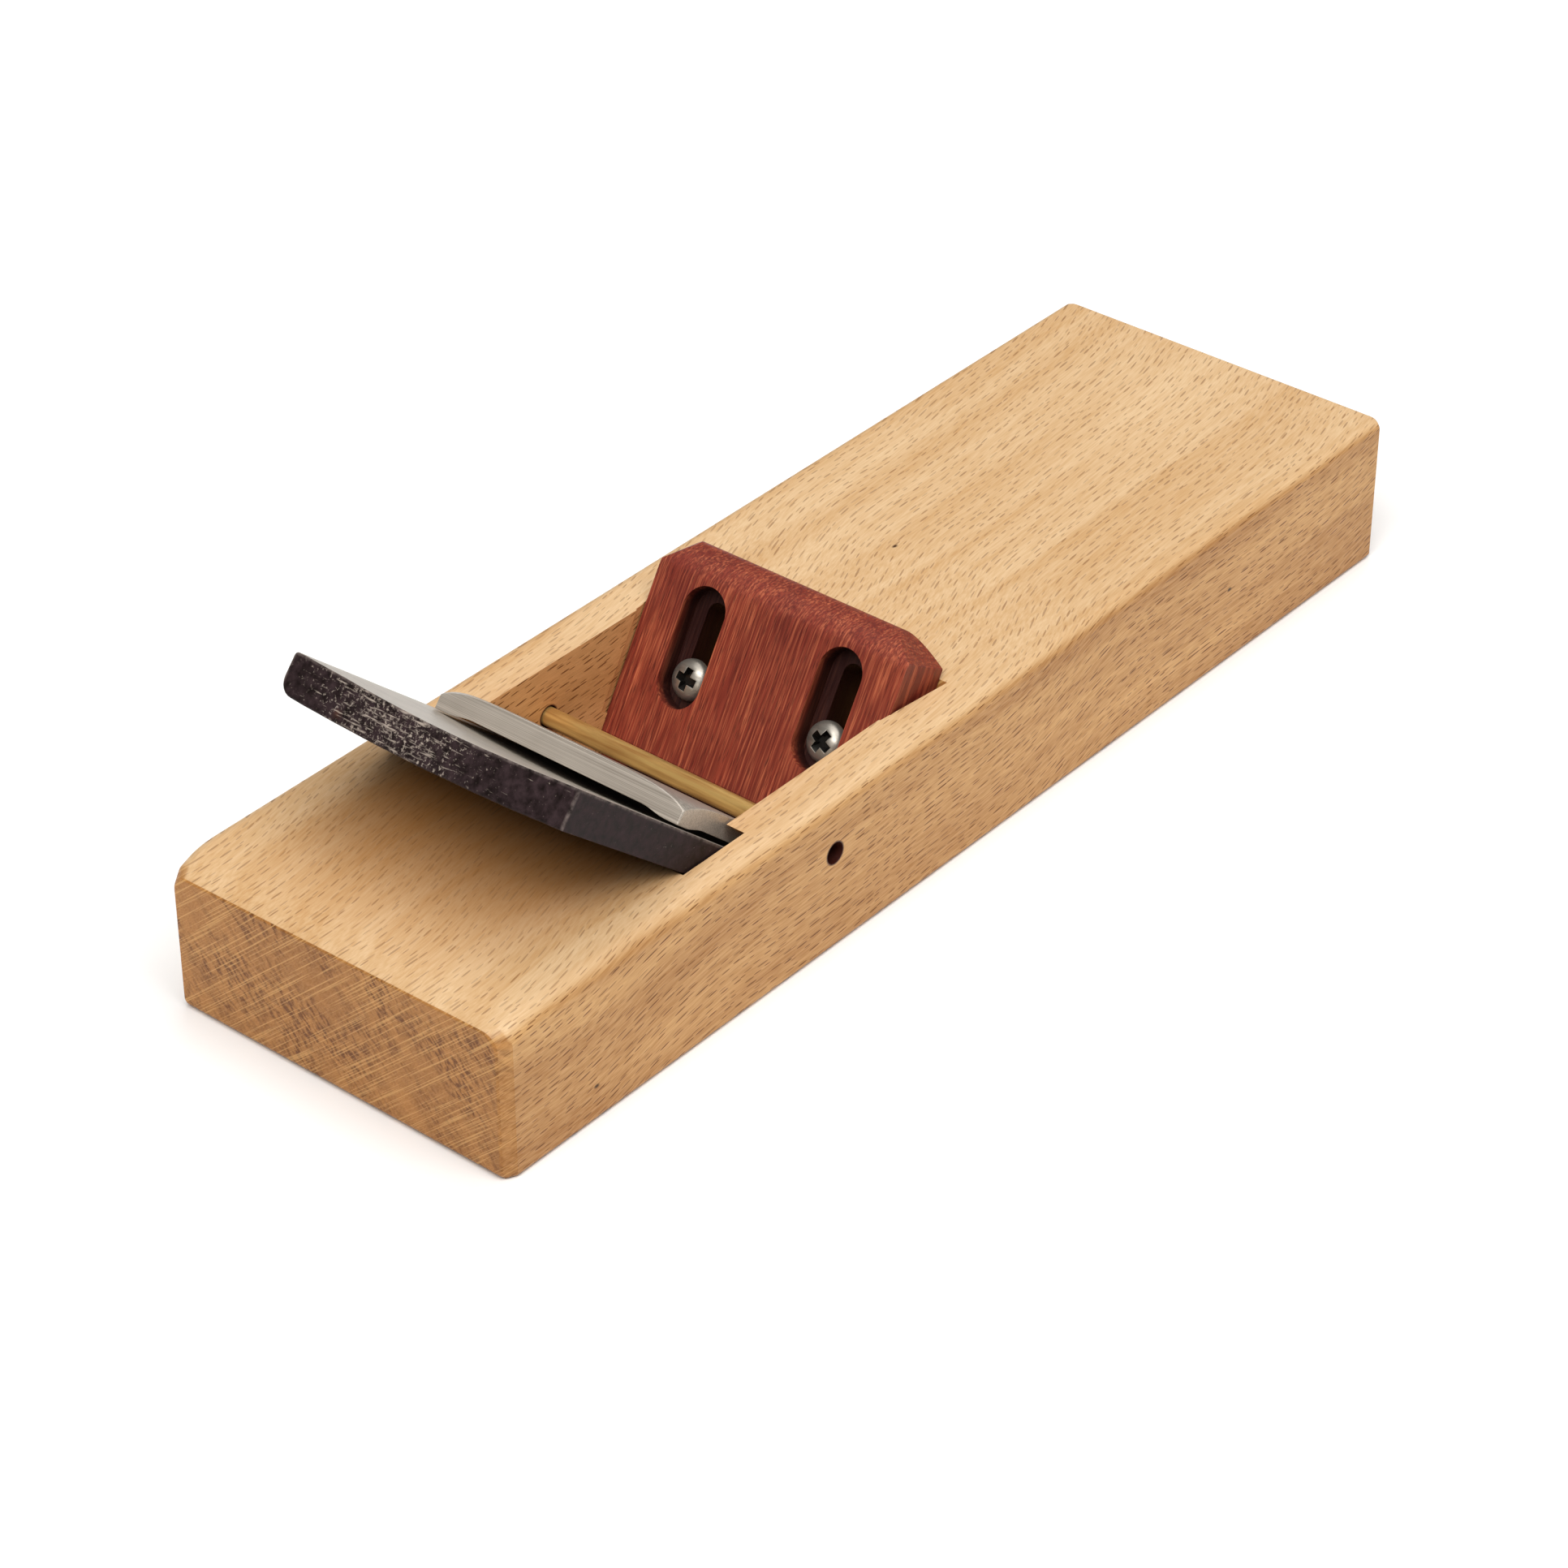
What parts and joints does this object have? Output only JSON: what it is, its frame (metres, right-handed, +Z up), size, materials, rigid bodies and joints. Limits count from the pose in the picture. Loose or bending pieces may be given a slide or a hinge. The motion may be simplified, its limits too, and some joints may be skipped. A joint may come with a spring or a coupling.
{
  "type": "hand plane",
  "caption": "Low wooden pull plane with a wedge-held steel blade, chip breaker, cross pin and a slotted mouthpiece that slides to set the mouth.",
  "frame": {"origin": "centre of the sole, the flat face that the plane slides on", "axes": "+X along the block, away from the head that the blade leans towards; +Y to the left seen along +X; +Z up, out of the top face"},
  "size_m": [0.275, 0.083, 0.0659],
  "materials": {
    "beech": "oiled beech, satin",
    "forged_steel": "dark forge scale, worn at the edges",
    "ground_steel": "ground, fine brush lines",
    "plated_pin": "yellow zinc plating, dulled",
    "red_hardwood": "fine red hardwood, satin",
    "nickel_plate": "nickel plated, bright",
    "turned_brass": "turned brass"
  },
  "bodies": {
    "block": {"plane_block": "beech", "retaining_pin": "plated_pin", "threaded_insert_left": "turned_brass", "threaded_insert_right": "turned_brass"},
    "blade": {"blade": "forged_steel"},
    "chip_breaker": {"chip_breaker": "ground_steel"},
    "mouthpiece": {"mouthpiece": "red_hardwood"},
    "screw_left": {"mouthpiece_screw_left": "nickel_plate"},
    "screw_right": {"mouthpiece_screw_right": "nickel_plate"}
  },
  "joints": [
    {"name": "blade_slide", "type": "slide", "parent": "block", "child": "blade", "axis": [-0.766, 0, 0.6428], "range_m": [-0.0004, 0.055]},
    {"name": "chip_breaker_slide", "type": "slide", "parent": "blade", "child": "chip_breaker", "axis": [-0.7547, 0, 0.6561], "range_m": [0, 0.06]},
    {"name": "mouthpiece_slide", "type": "slide", "parent": "block", "child": "mouthpiece", "axis": [0.524, 0, 0.8517], "range_m": [-0.0018, 0.0009]},
    {"name": "screw_left_turn", "type": "hinge", "parent": "block", "child": "screw_left", "pos_m": [-0.01829, 0.0172, 0.02183], "axis": [-0.8517, 0, 0.524], "range_deg": [0, 600]},
    {"name": "screw_right_turn", "type": "hinge", "parent": "block", "child": "screw_right", "pos_m": [-0.01829, -0.0172, 0.02183], "axis": [-0.8517, 0, 0.524], "range_deg": [0, 600]}
  ]
}
